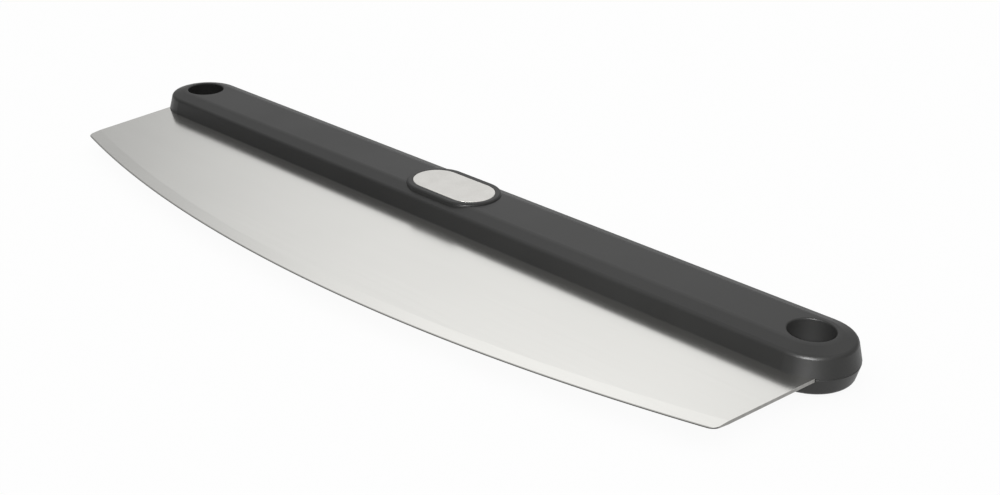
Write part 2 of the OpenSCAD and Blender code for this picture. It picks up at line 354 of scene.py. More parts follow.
notch_end = blade_high.x + BEYOND
for side in (-1, 1):
    cut(blade, square_block(
        (side * (TANG_END + notch_end) / 2, (SHOULDER.y + 2 * BEYOND) / 2, SEAM),
        (notch_end - TANG_END, 2 * BEYOND - SHOULDER.y, TOOL_DEPTH)))
    corner_cut = square_block((0, BEYOND / 2, SEAM), (BEYOND, BEYOND, TOOL_DEPTH))
    corner_cut.matrix_world = Matrix.Translation(
        (side * (TANG_END - TANG_CUT / 2), blade_high.y - TANG_CUT / 2, 0)) @ Matrix.Rotation(
        -side * math.pi / 4, 4, "Z")
    cut(blade, corner_cut)
    for place in SCREW_PLACES:
        cut(blade, round_rod(side * place * MM, SEAM, SCREW_HOLE, TOOL_DEPTH))
    for place in PIN_PLACES:
        cut(blade, round_rod(side * place * MM, SEAM, PIN_HOLE, TOOL_DEPTH))
print("blade with holes:", len(blade.data.polygons), "faces")

# %% [markdown]
# A ground sheet never has a perfectly sharp arris. A bevel of a tenth of a millimetre, only
# where two faces meet at more than 30 degrees, gives the edges the thin bright line that real
# ones show. The bevel's upper line is a crisp crease of less than 5 degrees, so it is marked
# sharp, and the fine facets of the round corner stay smooth.

# %% Arrises and shading
apply_modifier(blade, "BEVEL", width=ARRIS, segments=2, limit_method="ANGLE",
               angle_limit=math.radians(30), use_clamp_overlap=True)
take(blade)
bpy.ops.object.mode_set(mode="EDIT")
print("bevel line:", pick("EDGE", lambda edge: on_bevel_line(edge) and all(
    corner.co.y < SHOULDER.y for corner in edge.verts)), "edges")
bpy.ops.mesh.mark_sharp()
bpy.ops.object.mode_set(mode="OBJECT")
smooth(blade)
fit(blade, "blade")

# %% [markdown]
# ## The oval ring and the plate
#
# The plate's place on top is framed by a moulded ring with a shallow tray, and the metal plate
# sits in the tray on an adhesive pad. Both are ovals with straight sides: a circle whose two
# halves are moved apart. The circle is turned by half a step, so that no point lies on the
# dividing line.


# %% An oval face
OVAL_POINTS = 96


def oval(name, radius, run, z):
    """A flat oval: half circles of a radius, and straight sides run long on each side of X = 0."""
    bpy.ops.object.select_all(action="DESELECT")
    bpy.ops.mesh.primitive_circle_add(
        vertices=OVAL_POINTS, radius=radius, fill_type="NGON", location=(0, 0, z),
        rotation=(0, 0, math.pi / OVAL_POINTS))
    piece = bpy.context.object
    piece.name = name
    bpy.ops.object.transform_apply(location=True, rotation=True, scale=True)
    bpy.ops.object.mode_set(mode="EDIT")
    for side in (-1, 1):
        pick("VERT", lambda corner: corner.co.x * side > 0)
        bpy.ops.transform.translate(value=(side * run, 0, 0))
    return piece


def lift(height):
    """Extrudes what is selected up or down."""
    bpy.ops.mesh.extrude_region_move(TRANSFORM_OT_translate={"value": (0, 0, height)})


# %% [markdown]
# The ring has a wide collar that lies on the handle's crown, and a narrower foot in a pocket. In
# the picture the collar is broader along its straight sides than round its ends, so its outline
# is an oval of its own: a larger radius, with the two half circles closer together. It starts as
# the flat top of a block. The block is drawn down and spread, so that its wall leans as the
# mould's draft asks. Where the wall meets the crown, three tenths of the way down, the ring is
# as long as the frame's.

# %% The ring's block
ring_low, ring_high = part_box("badge_ring")
plate_low, plate_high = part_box("badge_plate")
plate_radius = (plate_high.y - plate_low.y) / 2
run = (plate_high.x - plate_low.x) / 2 - plate_radius
foot_radius = (ring_high.y - ring_low.y) / 2
RING_FOOT = 15.8 * MM
COLLAR_RADIUS = 14.6 * MM
COLLAR_SPREAD = 0.75 * MM
SPREAD_AT_CROWN = 0.3

collar_run = run + foot_radius - SPREAD_AT_CROWN * COLLAR_SPREAD - COLLAR_RADIUS
ring = oval("badge_ring_moulding", COLLAR_RADIUS, collar_run, ring_high.z)
bpy.ops.mesh.select_all(action="SELECT")
lift(RING_FOOT - ring_high.z)
bpy.ops.transform.resize(
    value=(1 + COLLAR_SPREAD / (collar_run + COLLAR_RADIUS), 1 + COLLAR_SPREAD / COLLAR_RADIUS, 1),
    center_override=(0, 0, RING_FOOT))
bpy.ops.mesh.select_all(action="SELECT")
bpy.ops.mesh.normals_make_consistent(inside=False)
print("collar in mm:", round(2 * (collar_run + COLLAR_RADIUS) / MM, 1), "by",
      round(2 * COLLAR_RADIUS / MM, 1))

# %% [markdown]
# The tray has the plate's outline, with a gap of a tenth of a millimetre. The top is inset to
# that width first. Its two half circles then move apart, from the collar's centres to the
# plate's, and the face inside is pressed down for the pad and the plate.


# %% The tray
TRAY_FLOOR = 17.6 * MM
TRAY_GAP = 0.1 * MM
NEAR = 0.4 * MM


def out_from_run(place, half_run):
    """Distance of a point from the middle line of an oval."""
    return math.hypot(max(abs(place.x) - half_run, 0), place.y)


def on_tray(corner, half_run):
    """Whether a point of the ring's top lies in or close round the plate's outline."""
    return (abs(corner.co.z - ring_high.z) < TOUCH
            and out_from_run(corner.co, half_run) < plate_radius + NEAR)


pick("FACE", lambda face: level(face, ring_high.z))
bpy.ops.mesh.inset(thickness=COLLAR_RADIUS - plate_radius - TRAY_GAP, use_even_offset=True)
for side in (-1, 1):
    pick("VERT", lambda corner: on_tray(corner, collar_run) and corner.co.x * side > 0)
    bpy.ops.transform.translate(value=(side * (run - collar_run), 0, 0))
print("points round the tray:", pick("VERT", lambda corner: on_tray(corner, run)))
bpy.ops.mesh.select_mode(type="FACE")
lift(TRAY_FLOOR - ring_high.z)

# %% [markdown]
# The collar's outer edge is broadly rounded, because it is what a thumb meets. The edge of the
# tray only loses its sharpness. Each edge is found by its height and its distance from the
# oval's middle line.

# %% The ring's rounded edges
COLLAR_ROUND = 0.9 * MM
TRAY_ROUND = 0.15 * MM

print("collar edge:", pick("EDGE", lambda edge: level(edge, ring_high.z)
      and out_from_run(middle(edge), collar_run) > COLLAR_RADIUS - NEAR))
bpy.ops.mesh.bevel(offset=COLLAR_ROUND, segments=6, affect="EDGES", clamp_overlap=False)
print("tray edge:", pick("EDGE", lambda edge: level(edge, ring_high.z)
      and out_from_run(middle(edge), run) < plate_radius + NEAR))
bpy.ops.mesh.bevel(offset=TRAY_ROUND, segments=3, affect="EDGES", clamp_overlap=False)
bpy.ops.object.mode_set(mode="OBJECT")

# %% [markdown]
# The collar's underside has to fit the crown, which is flat in the middle and falls off to both
# sides. The crown is made as a cutting block: a cube, with its two long upper edges bisected
# away at the slope. The pocket for the foot is first cut out of this block, so that what remains
# is just the space that the handle fills, and that is cut from the ring.

# %% The collar seated on the crown
CROWN_TOP = 18 * MM
CROWN_FLAT = 9.8 * MM
CROWN_SLOPE = math.radians(17.4)
CROWN_LENGTH = 80 * MM
CROWN_WIDTH = 38 * MM

crown = square_block((0, 0, CROWN_TOP / 2), (CROWN_LENGTH, CROWN_WIDTH, CROWN_TOP))
bpy.ops.object.mode_set(mode="EDIT")
for side in (-1, 1):
    bpy.ops.mesh.select_all(action="SELECT")
    bpy.ops.mesh.bisect(plane_co=(0, side * CROWN_FLAT, CROWN_TOP),
                        plane_no=(0, side * math.sin(CROWN_SLOPE), math.cos(CROWN_SLOPE)),
                        use_fill=True, clear_outer=True)
bpy.ops.object.mode_set(mode="OBJECT")
pocket = oval("pocket", foot_radius, run, 0)
bpy.ops.mesh.select_all(action="SELECT")
lift(2 * CROWN_TOP)
bpy.ops.object.mode_set(mode="OBJECT")
cut(crown, pocket)
cut(ring, crown)
print("ring on its crown:", len(ring.data.polygons), "faces")

# %% [markdown]
# Two pegs under the foot hold the ring in the shell. They are rods that start a little inside
# the foot, because a union needs an overlap and not just a touch.

# %% The ring's pegs
PEG_RADIUS = 1.5 * MM
PEG_SUNK = 0.6 * MM

peg_top = RING_FOOT + PEG_SUNK
for side in (-1, 1):
    peg = round_rod(side * run, (peg_top + ring_low.z) / 2, PEG_RADIUS, peg_top - ring_low.z)
    cut(ring, peg, operation="UNION")
smooth(ring)
fit(ring, "badge_ring")

# %% [markdown]
# The plate is stamped and then blasted. Its upper edge is rounded by a third of a millimetre,
# its lower edge only freed of its burr, and its face is bare. It is an oval again, lifted to the
# plate's thickness.

# %% The plate
PLATE_ROUND = 0.35 * MM
PLATE_BURR = 0.08 * MM

plate = oval("badge_face_plate", plate_radius, run, plate_low.z)
bpy.ops.mesh.select_all(action="SELECT")
lift(plate_high.z - plate_low.z)
pick("EDGE", lambda edge: level(edge, plate_high.z))
bpy.ops.mesh.bevel(offset=PLATE_ROUND, segments=5, affect="EDGES", clamp_overlap=False)
pick("EDGE", lambda edge: level(edge, plate_low.z))
bpy.ops.mesh.bevel(offset=PLATE_BURR, segments=2, affect="EDGES", clamp_overlap=False)
bpy.ops.object.mode_set(mode="OBJECT")
smooth(plate)
fit(plate, "badge_plate")

# %% [markdown]
# ## The screws
#
# Six self-tapping screws come up from underneath through the tang and pull the two shells
# together. One is modelled: a pan head with a rounded rim, and a shank with a short point. The
# thread bites into the posts and can't be seen, so the shank keeps the core diameter. All of it
# could be a spun outline, but a disc that is lifted, inset and lifted again says more plainly
# what each step is.

# %% Head, shank and point
HEAD_RADIUS = 2.7 * MM
HEAD_LOW = 0.9 * MM
HEAD_HIGH = 2.6 * MM
HEAD_ROUND = 0.8 * MM
HEAD_BURR = 0.1 * MM
SHANK_RADIUS = 1.2 * MM
SHANK_TIP = 14.4 * MM
POINT = 1.6 * MM
POINT_SHARE = 0.2

bpy.ops.object.select_all(action="DESELECT")
bpy.ops.mesh.primitive_circle_add(
    vertices=FACETS, radius=HEAD_RADIUS, fill_type="NGON", location=(0, 0, HEAD_LOW))
pattern = bpy.context.object
pattern.name = "screw_pattern"
bpy.ops.object.transform_apply(location=True, rotation=True, scale=True)
bpy.ops.object.mode_set(mode="EDIT")
bpy.ops.mesh.select_all(action="SELECT")
lift(HEAD_HIGH - HEAD_LOW)
pick("FACE", lambda face: level(face, HEAD_HIGH))
bpy.ops.mesh.inset(thickness=HEAD_RADIUS - SHANK_RADIUS, use_even_offset=True)
lift(SHANK_TIP - POINT - HEAD_HIGH)
lift(POINT)
bpy.ops.transform.resize(value=(POINT_SHARE, POINT_SHARE, 1), center_override=(0, 0, SHANK_TIP))
pick("EDGE", lambda edge: level(edge, HEAD_LOW))
bpy.ops.mesh.bevel(offset=HEAD_ROUND, segments=6, affect="EDGES", clamp_overlap=False)
pick("EDGE", lambda edge: level(edge, HEAD_HIGH) and middle(edge).xy.length > 2 * SHANK_RADIUS)
bpy.ops.mesh.bevel(offset=HEAD_BURR, segments=2, affect="EDGES", clamp_overlap=False)
bpy.ops.mesh.select_all(action="SELECT")
bpy.ops.mesh.normals_make_consistent(inside=False)
bpy.ops.object.mode_set(mode="OBJECT")
print("screw without its recess:", len(pattern.data.polygons), "faces")

# %% [markdown]
# The driver's cross recess narrows towards its bottom, so that the driver centres itself. Two
# crossed blocks cut it. The upper face of each, deep in the head, is drawn in.

# %% The cross recess
RECESS_WIDTH = 0.75 * MM
RECESS_SPAN = 3.0 * MM
RECESS_DEPTH = 1.1 * MM
RECESS_TAPER = 0.55

for span in ((RECESS_SPAN, RECESS_WIDTH), (RECESS_WIDTH, RECESS_SPAN)):
    wing = square_block((0, 0, HEAD_LOW), (*span, 2 * RECESS_DEPTH))
    bpy.ops.object.mode_set(mode="EDIT")
    pick("VERT", lambda corner: corner.co.z > HEAD_LOW)
    bpy.ops.transform.resize(
        value=(RECESS_TAPER, RECESS_TAPER, 1), center_override=(0, 0, HEAD_LOW))
    bpy.ops.object.mode_set(mode="OBJECT")
    cut(pattern, wing)
smooth(pattern)
print("screw:", len(pattern.data.polygons), "faces")

# %% [markdown]
# The six screws are one purchased part, so the pattern is copied to six places, each copy with
# its own mesh, and then removed. The places are those of the holes in the tang.

# %% Six screws from one pattern
screws = []
for number, place in enumerate([side * x for x in SCREW_PLACES for side in (-1, 1)]):
    screw = pattern.copy()
    screw.data = pattern.data.copy()
    screw.name = "shell_screw_" + str(number + 1)
    bpy.context.scene.collection.objects.link(screw)
    take(screw)
    screw.location.x = place * MM
    bpy.ops.object.transform_apply(location=True, rotation=True, scale=True)
    fit(screw, "shell_screws")
    screws.append(screw)
bpy.data.objects.remove(pattern)

# %% [markdown]
# ## Finishes
#
# Up close, no surface of the knife is one flat colour. The shells come from a mould with a fine
# matte grain, and hands leave them a little glossier in some places than in others. The blade is
# ground lengthwise, so its grain runs with it. The plate is blasted to an even, tiny stipple.
#
# These effects return in several materials, so each is a shader node group that is built once.
# A group gives out only masks and heights. Every material keeps its own shader, and every value
# that is the same all over is set on the shader itself. All patterns read Object coordinates:
# each piece's object stands at the origin, so a pattern has one scale and lies still.


# %% Helpers for materials and groups
def new_material(name, colour, roughness, metallic=0.0, ior=1.5):
    """A material with one shader, set to the finish's plain values."""
    material = bpy.data.materials.new(name)
    material.use_nodes = True
    nodes = material.node_tree.nodes
    nodes.clear()
    output = nodes.new("ShaderNodeOutputMaterial")
    shader = nodes.new("ShaderNodeBsdfPrincipled")
    shader.name = "finish"
    shader.inputs["Base Color"].default_value = (*colour, 1)
    shader.inputs["Roughness"].default_value = roughness
    shader.inputs["Metallic"].default_value = metallic
    shader.inputs["IOR"].default_value = ior
    material.node_tree.links.new(shader.outputs["BSDF"], output.inputs["Surface"])
    return material


def new_group(name, inputs, outputs):
    """An empty node group with named number or vector inputs, and number outputs."""
    group = bpy.data.node_groups.new(name, "ShaderNodeTree")
    for socket, kind, value in inputs:
        made = group.interface.new_socket(name=socket, in_out="INPUT", socket_type=kind)
        made.default_value = value
    for socket in outputs:
        group.interface.new_socket(name=socket, in_out="OUTPUT", socket_type="NodeSocketFloat")
    return group, group.nodes.new("NodeGroupInput"), group.nodes.new("NodeGroupOutput")


def between(tree, value, low, high):
    """Stretches a mask from 0 and 1 to two numbers, which may be sockets or values."""
    spread = tree.nodes.new("ShaderNodeMapRange")
    tree.links.new(value, spread.inputs["Value"])
    for name, end in (("To Min", low), ("To Max", high)):
        if isinstance(end, bpy.types.NodeSocket):
            tree.links.new(end, spread.inputs[name])
        else:
            spread.inputs[name].default_value = end
    return spread.outputs["Result"]


# %% [markdown]
# **Stipple** is the grain of a mould or of blasting, as a height and as a mask. **Handling** is the
# broad, soft unevenness that wiping and gripping leave, and it only ever moves the roughness and
# the tone by a few hundredths. Both are a noise with soft limits, so the same two functions build
# them. The size is given in millimetres, since that is how a maker names a grain.


# %% Groups: stipple and handling
def noise_by_size(group, size, detail, roughness):
    """A noise whose patches are as large as a socket says in millimetres."""
    coordinates = group.nodes.new("ShaderNodeTexCoord")
    per_metre = group.nodes.new("ShaderNodeMath")
    per_metre.operation = "DIVIDE"
    per_metre.inputs[0].default_value = 1 / MM
    group.links.new(size, per_metre.inputs[1])
    noise = group.nodes.new("ShaderNodeTexNoise")
    noise.inputs["Detail"].default_value = detail
    noise.inputs["Roughness"].default_value = roughness
    group.links.new(coordinates.outputs["Object"], noise.inputs["Vector"])
    group.links.new(per_metre.outputs[0], noise.inputs["Scale"])
    return noise.outputs["Fac"]


def as_mask(group, value, low, high, rise="SMOOTHSTEP"):
    """Turns a value into a mask that rises from 0 to 1 between two limits."""
    limits = group.nodes.new("ShaderNodeMapRange")
    limits.interpolation_type = rise
    limits.inputs["From Min"].default_value = low
    limits.inputs["From Max"].default_value = high
    group.links.new(value, limits.inputs["Value"])
    return limits.outputs["Result"]


stipple, ins, outs = new_group(
    "stipple", [("Grain mm", "NodeSocketFloat", 0.3)], ["Height", "Mask"])
grain = noise_by_size(stipple, ins.outputs["Grain mm"], detail=3, roughness=0.6)
stipple.links.new(grain, outs.inputs["Height"])
stipple.links.new(as_mask(stipple, grain, 0.3, 0.7), outs.inputs["Mask"])

handling, ins, outs = new_group(
    "handling", [("Patch mm", "NodeSocketFloat", 40)], ["Mask"])
patches = noise_by_size(handling, ins.outputs["Patch mm"], detail=4, roughness=0.45)
handling.links.new(as_mask(handling, patches, 0.3, 0.7), outs.inputs["Mask"])
print("groups:", stipple.name, handling.name)

# %% [markdown]
# **Grinding lines** are a noise squeezed hard across the grinding direction, so that each cell
# becomes a long scratch. Two sizes together look less regular than one. The Stretch input says
# how the three axes are scaled: small along the lines, large across them.

# %% Group: grinding_lines
grinding, ins, outs = new_group(
    "grinding_lines", [("Stretch", "NodeSocketVector", (6, 1500, 1500))], ["Height", "Mask"])
coordinates = grinding.nodes.new("ShaderNodeTexCoord")
squeezed = grinding.nodes.new("ShaderNodeVectorMath")
squeezed.operation = "MULTIPLY"
grinding.links.new(coordinates.outputs["Object"], squeezed.inputs[0])
grinding.links.new(ins.outputs["Stretch"], squeezed.inputs[1])
sizes = []
for scale in (1.0, 0.27):
    lines = grinding.nodes.new("ShaderNodeTexNoise")
    lines.inputs["Scale"].default_value = scale
    lines.inputs["Detail"].default_value = 2
    grinding.links.new(squeezed.outputs["Vector"], lines.inputs["Vector"])
    sizes.append(lines.outputs["Fac"])
both = grinding.nodes.new("ShaderNodeMath")
grinding.links.new(sizes[0], both.inputs[0])
grinding.links.new(sizes[1], both.inputs[1])
grinding.links.new(both.outputs[0], outs.inputs["Height"])
grinding.links.new(as_mask(grinding, both.outputs[0], 0.7, 1.3, "LINEAR"), outs.inputs["Mask"])
print("group:", grinding.name)

# %% [markdown]
# **Round an axis** finds what lies at a given distance from an upright axis, such as the wall of
# a hole or the strip along the belly. The knife is the same on both sides of X = 0, so X is
# folded over first, and one axis serves both ends.

# %% Group: round_an_axis
round_an_axis, ins, outs = new_group(
    "round_an_axis",
    [("Axis", "NodeSocketVector", (0, 0, 0)), ("Start", "NodeSocketFloat", 0.0),
     ("End", "NodeSocketFloat", 0.001)], ["Mask"])
coordinates = round_an_axis.nodes.new("ShaderNodeTexCoord")
parts = round_an_axis.nodes.new("ShaderNodeSeparateXYZ")
round_an_axis.links.new(coordinates.outputs["Object"], parts.inputs["Vector"])
folded = round_an_axis.nodes.new("ShaderNodeMath")
folded.operation = "ABSOLUTE"
round_an_axis.links.new(parts.outputs["X"], folded.inputs[0])
level_place = round_an_axis.nodes.new("ShaderNodeCombineXYZ")
round_an_axis.links.new(folded.outputs[0], level_place.inputs["X"])
round_an_axis.links.new(parts.outputs["Y"], level_place.inputs["Y"])
reach = round_an_axis.nodes.new("ShaderNodeVectorMath")
reach.operation = "DISTANCE"
round_an_axis.links.new(level_place.outputs["Vector"], reach.inputs[0])
round_an_axis.links.new(ins.outputs["Axis"], reach.inputs[1])
edge = round_an_axis.nodes.new("ShaderNodeMapRange")
round_an_axis.links.new(reach.outputs["Value"], edge.inputs["Value"])
round_an_axis.links.new(ins.outputs["Start"], edge.inputs["From Min"])
round_an_axis.links.new(ins.outputs["End"], edge.inputs["From Max"])
round_an_axis.links.new(edge.outputs["Result"], outs.inputs["Mask"])
print("groups:", sorted(group.name for group in bpy.data.node_groups))


# %% [markdown]
# With the groups made, a material takes only a few moves: a group is placed with its own values,
# and its masks then tint, roughen or emboss the shader called "finish". Each move is a small
# function, so that every finish below reads like a list of what was done to the surface.


# %% Placing a group, mixing masks, and giving the finish to a piece
def place_group(tree, group, **values):
    """Adds a group to a material, with this finish's own values on its inputs."""
    node = tree.nodes.new("ShaderNodeGroup")
    node.node_tree = group
    for name, value in values.items():
        node.inputs[name.replace("_", " ")].default_value = value
    return node


def blend(tree, first, second, share):
    """Mixes two masks."""
    mix = tree.nodes.new("ShaderNodeMix")
    mix.inputs["Factor"].default_value = share
    tree.links.new(first, mix.inputs["A"])
    tree.links.new(second, mix.inputs["B"])
    return mix.outputs["Result"]


def dress(piece, material):
    """Gives a piece one finish all over."""
    piece.data.materials.clear()
    piece.data.materials.append(material)


# %% [markdown]
# Three moves change the shader itself. The base colour may be tinted more than once: the second
# tint then starts from the colour that the first one gave.


# %% Tint, roughen and emboss
def tint(tree, mask, dark, light):
    """Lets the base colour drift between two colours, which may be sockets or values."""
    mix = tree.nodes.new("ShaderNodeMix")
    mix.data_type = "RGBA"
    tree.links.new(mask, mix.inputs["Factor"])
    for name, end in (("A", dark), ("B", light)):
        if isinstance(end, bpy.types.NodeSocket):
            tree.links.new(end, mix.inputs[name])
        else:
            mix.inputs[name].default_value = (*end, 1)
    tree.links.new(mix.outputs["Result"], tree.nodes["finish"].inputs["Base Color"])
    return mix.outputs["Result"]


def roughen(tree, mask, low, high):
    """Lets the roughness drift between two values, of which one may be a socket."""
    tree.links.new(between(tree, mask, low, high), tree.nodes["finish"].inputs["Roughness"])


def emboss(tree, height, depth):
    """Turns a height into a bump of a depth in metres."""
    bump = tree.nodes.new("ShaderNodeBump")
    bump.inputs["Distance"].default_value = depth
    tree.links.new(height, bump.inputs["Height"])
    tree.links.new(bump.outputs["Normal"], tree.nodes["finish"].inputs["Normal"])


# %% [markdown]
# ## The black plastics
#
# Nearly all the light that a black plastic sends back is reflection: the surface looks grey where
# it mirrors the bright room at a low angle, and near black down inside the hanging holes. So the
# colour is very dark, and the finish is made by the roughness. The walls of the two holes were
# formed by plain core pins that nobody polished, so they are rougher than the rest: a mask finds
# them by their distance from the hole's axis.

# %% Handle shells
BLACK = (0.008, 0.008, 0.0076)
BLACK_DARK = (0.006, 0.006, 0.0057)
BLACK_LIGHT = (0.01, 0.01, 0.0096)
HANGING_HOLES = 190.2 * MM
HOLE_RADIUS = 9.3 * MM
BORE_FADE = 0.06 * MM
BORE_ROUGHNESS = 0.62

handle_plastic = new_material("handle_matte_plastic", BLACK, 0.43, ior=1.4)
tree = handle_plastic.node_tree
grain = place_group(tree, stipple, Grain_mm=0.35)
wear = place_group(tree, handling, Patch_mm=35)
tint(tree, blend(tree, grain.outputs["Mask"], wear.outputs["Mask"], 0.5), BLACK_DARK, BLACK_LIGHT)
emboss(tree, grain.outputs["Height"], 0.02 * MM)

in_bore = place_group(tree, round_an_axis, Axis=(HANGING_HOLES, 0, 0),
                      Start=HOLE_RADIUS + BORE_FADE, End=HOLE_RADIUS + TOUCH)
roughen(tree, in_bore.outputs["Mask"], between(tree, wear.outputs["Mask"], 0.41, 0.45),
        BORE_ROUGHNESS)
for name in ("handle_upper_shell", "handle_lower_shell"):
    dress(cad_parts[name], handle_plastic)
print("finish of the shells:", handle_plastic.name)

# %% [markdown]
# The ring comes from a mould of its own, with a finer grain. It is a shade smoother than the
# shells, which makes it look a little crisper without being a gloss black.

# %% Ring
ring_plastic = new_material("ring_satin_plastic", BLACK, 0.41, ior=1.36)
tree = ring_plastic.node_tree
grain = place_group(tree, stipple, Grain_mm=0.25)
wear = place_group(tree, handling, Patch_mm=12)
tint(tree, grain.outputs["Mask"], BLACK_DARK, BLACK_LIGHT)
roughen(tree, wear.outputs["Mask"], 0.39, 0.43)
emboss(tree, grain.outputs["Height"], 0.008 * MM)
dress(ring, ring_plastic)
print("finish of the ring:", ring_plastic.name)

# %% [markdown]
# ## The metals
#
# The blade's flat faces are finely ground along their length and then wiped to a satin. The
# lines are so fine that a step away they only soften the reflection of the handle. The last half
# millimetre of the bevel was whetted after grinding, and is rougher; its colour is also painted
# darker there, a painted shade along the cutting edge. A mask finds it by its distance from the
# centre of the large circle, so it needs no faces of its own.

# %% Blade faces
WHETTED_PAINTED_SHADE_WIDTH = 0.5 * MM
WHETTED_PAINTED_SHADE_FADE = 0.15 * MM

blade_steel = new_material("blade_satin_steel", (0.67, 0.665, 0.64), 0.17, metallic=1.0)
tree = blade_steel.node_tree
lines = place_group(tree, grinding, Stretch=(14, 3000, 3000))
wear = place_group(tree, handling, Patch_mm=60)
satin = tint(tree, blend(tree, lines.outputs["Mask"], wear.outputs["Mask"], 0.4),
             (0.655, 0.65, 0.625), (0.685, 0.68, 0.655))
whetted_and_painted_shade = place_group(tree, round_an_axis, Axis=tuple(BELLY_CENTRE),
                      Start=BELLY_RADIUS - WHETTED_PAINTED_SHADE_WIDTH - WHETTED_PAINTED_SHADE_FADE,
                      End=BELLY_RADIUS - WHETTED_PAINTED_SHADE_WIDTH)
# The strip's darker colour is painted shade along the cutting edge; its roughness below is the
# whetting.
tint(tree, whetted_and_painted_shade.outputs["Mask"], satin, (0.32, 0.315, 0.3))
ground = blend(tree, lines.outputs["Mask"], wear.outputs["Mask"], 0.5)
roughen(tree, whetted_and_painted_shade.outputs["Mask"], between(tree, ground, 0.15, 0.19), 0.3)
emboss(tree, lines.outputs["Height"], 0.0004 * MM)
dress(blade, blade_steel)
print("finish of the blade:", blade_steel.name)

# %% [markdown]
# The sheared ends are rougher than the faces, and their colour is painted darker, as painted
# shade. The cutting edge is painted darker still, a painted shade that draws the thin dark line
# along the belly. Both are narrow upright walls, too different from the faces for a mask, so
# each gets a material of its own.

# %% Sheared ends and cutting edge
# The ends' darker base colour is painted shade; their higher roughness is real.
cut_steel_painted_shade = new_material("blade_cut_steel_painted_shade", (0.31, 0.305, 0.29), 0.42, metallic=1.0)
tree = cut_steel_painted_shade.node_tree
lines = place_group(tree, grinding, Stretch=(1800, 1800, 60))
tint(tree, lines.outputs["Mask"], (0.26, 0.255, 0.245), (0.36, 0.355, 0.34))
roughen(tree, lines.outputs["Mask"], 0.36, 0.48)
emboss(tree, lines.outputs["Height"], 0.003 * MM)

# The cutting edge's near-black colour is painted shade: the dark line along the belly.
edge_steel_painted_shade = new_material("blade_edge_steel_painted_shade", (0.1, 0.098, 0.094), 0.36, metallic=1.0)
tree = edge_steel_painted_shade.node_tree
lines = place_group(tree, grinding, Stretch=(900, 900, 900))
tint(tree, lines.outputs["Mask"], (0.075, 0.074, 0.071), (0.125, 0.123, 0.117))
roughen(tree, lines.outputs["Mask"], 0.3, 0.42)
emboss(tree, lines.outputs["Height"], 0.002 * MM)
for material in (cut_steel_painted_shade, edge_steel_painted_shade):
    blade.data.materials.append(material)
print("materials of the blade:", [material.name for material in blade.data.materials])


# %% [markdown]
# A material is given to faces as by hand: the faces are selected, by their direction and their
# place, the slot is made active, and Assign is pressed.


# %% Faces of the ends and of the cutting edge
ARRIS_REACH = 0.15 * MM
UPRIGHT_NORMAL = 0.3


def upright(face):
    """Whether a face stands more or less upright."""
    return abs(face.normal.z) < UPRIGHT_NORMAL


def on_cutting_edge(face):
    """Whether a face is part of the cutting edge, which ends round the corners."""
    at_belly = all(from_centre(corner.co) > BELLY_RADIUS - ARRIS_REACH for corner in face.verts)
    return at_belly or (upright(face) and middle(face).y < CORNER.y + CORNER_RADIUS / 2)


take(blade)
bpy.ops.object.mode_set(mode="EDIT")
# Slots 1 and 2 carry the painted shade of the ends and of the cutting edge.
for slot_number, test in ((1, upright), (2, on_cutting_edge)):
    print("faces for material", slot_number, "of the blade:", pick("FACE", test))
    blade.active_material_index = slot_number
    bpy.ops.object.material_slot_assign()
bpy.ops.object.mode_set(mode="OBJECT")

# %% [markdown]
# The plate is aluminium, blasted to a fine even stipple that scatters the light and leaves it
# pale from every side. The screws are plain stainless steel, turned and a little dull.

# %% Plate and screws
badge_metal = new_material("plate_blasted_aluminium", (0.63, 0.62, 0.595), 0.42, metallic=1.0)
tree = badge_metal.node_tree
grain = place_group(tree, stipple, Grain_mm=0.3)
wear = place_group(tree, handling, Patch_mm=9)
tint(tree, blend(tree, grain.outputs["Mask"], wear.outputs["Mask"], 0.3),
     (0.57, 0.56, 0.535), (0.69, 0.68, 0.655))
roughen(tree, grain.outputs["Mask"], 0.38, 0.46)
emboss(tree, grain.outputs["Height"], 0.03 * MM)
dress(plate, badge_metal)

screw_steel = new_material("screw_stainless", (0.55, 0.55, 0.54), 0.3, metallic=1.0)
tree = screw_steel.node_tree
grain = place_group(tree, stipple, Grain_mm=0.2)
wear = place_group(tree, handling, Patch_mm=2)
tint(tree, wear.outputs["Mask"], (0.49, 0.49, 0.48), (0.61, 0.61, 0.6))
roughen(tree, blend(tree, grain.outputs["Mask"], wear.outputs["Mask"], 0.5), 0.24, 0.36)
emboss(tree, grain.outputs["Height"], 0.004 * MM)
for screw in screws:
    dress(screw, screw_steel)
print("finishes:", badge_metal.name, screw_steel.name)

# %% [markdown]
# The adhesive pad under the plate is a thin, pale acrylic foam. It is hidden once the plate is
# on, but it is finished too, because the pieces are also looked at one by one.

# %% Adhesive pad
adhesive = new_material("pad_foam", (0.8, 0.78, 0.72), 0.7)
tree = adhesive.node_tree
cells = place_group(tree, stipple, Grain_mm=0.15)
tint(tree, cells.outputs["Mask"], (0.74, 0.72, 0.66), (0.85, 0.83, 0.77))
roughen(tree, cells.outputs["Mask"], 0.62, 0.78)
emboss(tree, cells.outputs["Height"], 0.02 * MM)
dress(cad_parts["badge_adhesive_pad"], adhesive)
print("materials:", sorted(material.name for material in bpy.data.materials))

# %% [markdown]
# ## The studio
#
# The knife lies on a plain white floor. In the picture the floor is pure white and shows almost
# no shadow. More light would burn out the steel, so the floor is helped instead: where the
# camera looks, and where steel or plastic mirrors it, most of the floor is its own soft glow. A
# small share stays plain paint, and carries the shadow. The studio's own sizes are in metres.

# %% Floor
FLOOR_Z = -0.4 * MM
FLOOR_SIZE = 60
GLOW_SHARE = 0.93
GLOW_LEVEL = 1.0

